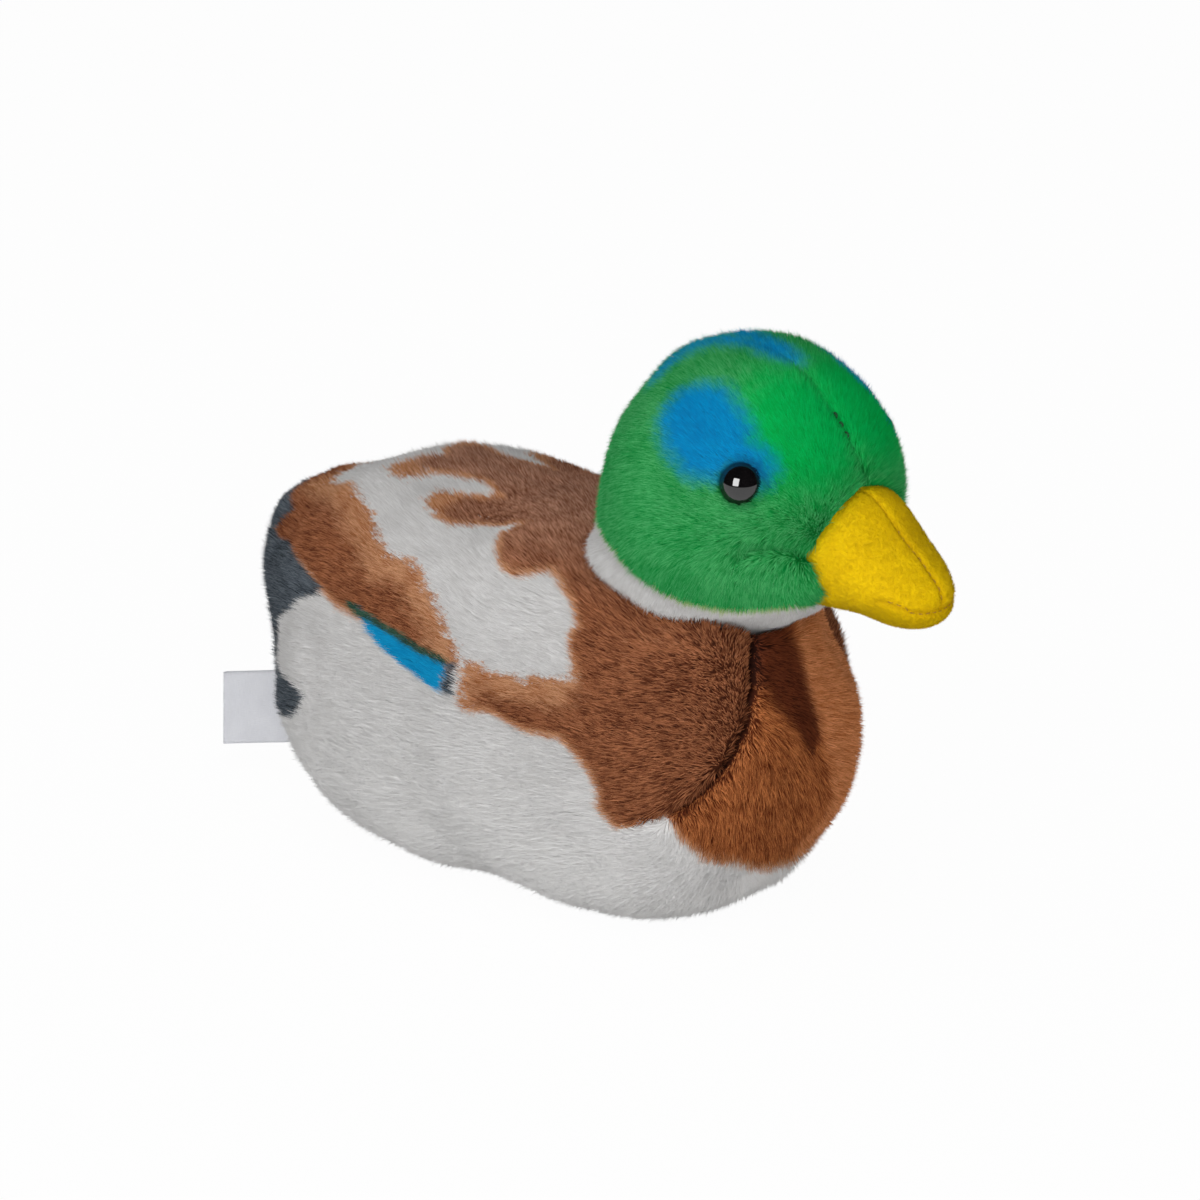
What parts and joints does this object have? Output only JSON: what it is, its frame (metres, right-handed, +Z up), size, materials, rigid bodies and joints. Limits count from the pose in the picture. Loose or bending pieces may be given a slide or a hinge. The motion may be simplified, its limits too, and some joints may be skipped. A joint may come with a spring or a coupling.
{
  "type": "plush duck",
  "caption": "Small stuffed duck that sits on a flat foot, with a ball head that turns and nods, a felt bill and a sewn-in care label.",
  "frame": {"origin": "on the ground under the body's flat foot, in the middle plane of the toy", "axes": "+X forward towards the bill, +Y the duck's left side, +Z up"},
  "size_m": [0.1865, 0.074, 0.1179],
  "materials": {
    "back_plush": "brown printed pile fabric",
    "chest_plush": "reddish brown pile fabric",
    "head_plush": "green pile fabric with a white collar",
    "felt": "yellow short-pile felt",
    "filling": "white polyester fibre",
    "eye": "polished black",
    "washer": "natural white, matt",
    "label": "bare satin ribbon"
  },
  "bodies": {
    "body": {"body_side_left": "back_plush", "body_side_right": "back_plush", "chest_belly_gusset": "chest_plush", "body_filling": "filling"},
    "neck": {"neck_filling": "filling"},
    "head": {"head_side_left": "head_plush", "head_side_right": "head_plush", "head_filling": "filling", "eye_left": "eye", "eye_right": "eye", "eye_washer_left": "washer", "eye_washer_right": "washer", "bill_upper_left": "felt", "bill_upper_right": "felt", "bill_lower": "felt", "bill_filling": "filling"},
    "label": {"care_label": "label"}
  },
  "joints": [
    {"name": "head_turn", "type": "hinge", "parent": "body", "child": "neck", "pos_m": [0.0473, 0, 0.0876], "axis": [0, 0, 1], "range_deg": [-15, 15], "stiffness_Nm_per_rad": 0.03},
    {"name": "head_nod", "type": "hinge", "parent": "neck", "child": "head", "pos_m": [0.0473, 0, 0.0876], "axis": [0, 1, 0], "range_deg": [-11, 10], "stiffness_Nm_per_rad": 0.05},
    {"name": "label_flap", "type": "hinge", "parent": "body", "child": "label", "pos_m": [-0.05731, 0, 0.019], "axis": [-0.2334, 0, 0.9724], "range_deg": [-60, 60], "stiffness_Nm_per_rad": 0.0005}
  ]
}
